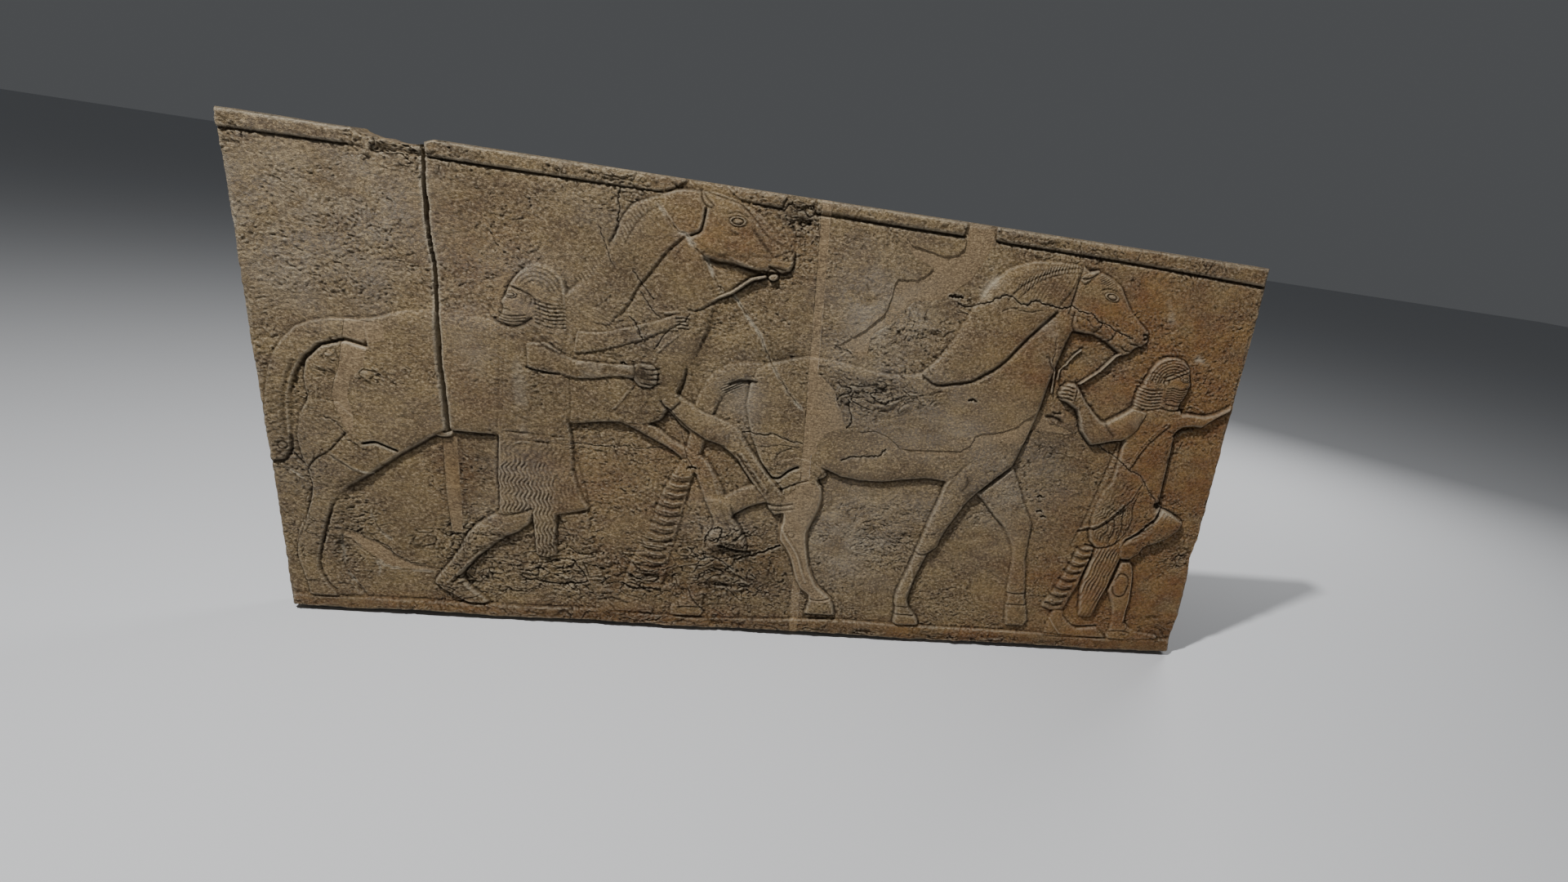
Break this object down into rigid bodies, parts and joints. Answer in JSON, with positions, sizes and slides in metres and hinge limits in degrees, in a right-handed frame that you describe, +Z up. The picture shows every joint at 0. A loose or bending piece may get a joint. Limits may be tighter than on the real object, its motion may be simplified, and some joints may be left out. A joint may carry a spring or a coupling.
{
  "type": "stone relief panel",
  "caption": "Carved stone wall panel in low relief with horses led by robed grooms, in jointed slabs with plaster repairs, fixed flat against a wall.",
  "frame": {"origin": "middle of the flat back face, where the panel is fixed to the wall", "axes": "+X to the viewer's right along the panel's length, +Z up, +Y into the wall, with the carved face looking along -Y"},
  "size_m": [3.3, 0.122, 1.592],
  "materials": {
    "brown_stone": "dry, weathered gypsum stone, rough, brown to grey, with dark dirt in the cuts",
    "ochre_stone": "dry, weathered gypsum stone, rough, grey-brown going to ochre at the right end",
    "plaster": "smooth toned plaster, matt, olive tan"
  },
  "bodies": {
    "root": {"left_slab": "brown_stone", "middle_slab": "brown_stone", "right_slab": "ochre_stone", "left_joint_fill": "plaster", "right_joint_fill": "plaster", "left_fill": "plaster", "heel_fill": "plaster", "upper_fill": "plaster", "middle_fill": "plaster", "leg_fill": "plaster"}
  },
  "joints": []
}
